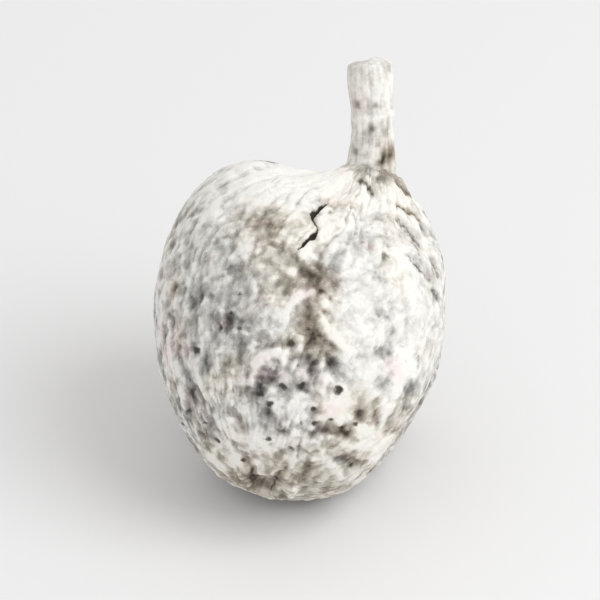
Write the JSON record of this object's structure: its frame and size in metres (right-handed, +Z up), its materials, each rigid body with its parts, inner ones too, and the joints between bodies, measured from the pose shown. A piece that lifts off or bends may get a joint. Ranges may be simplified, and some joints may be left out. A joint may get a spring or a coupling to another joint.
{
  "type": "dried fig",
  "caption": "Whole plump dried fig dusted with flour, with its eye, gathered neck and short cut stalk, leaning back on a small flat spot.",
  "frame": {"origin": "middle of the small flat spot that the fig rests on", "axes": "+Z up from the surface it rests on, +Y back, the way the crown and stalk lean, +X to the right, the side the stalk is on"},
  "size_m": [0.036, 0.0408, 0.0509],
  "materials": {
    "floured_skin": "matte, dusted with pale flour",
    "floured_stalk": "matte, dry and fibrous, dusted with pale flour"
  },
  "bodies": {
    "root": {"fruit": "floured_skin", "stalk": "floured_stalk"}
  },
  "joints": []
}
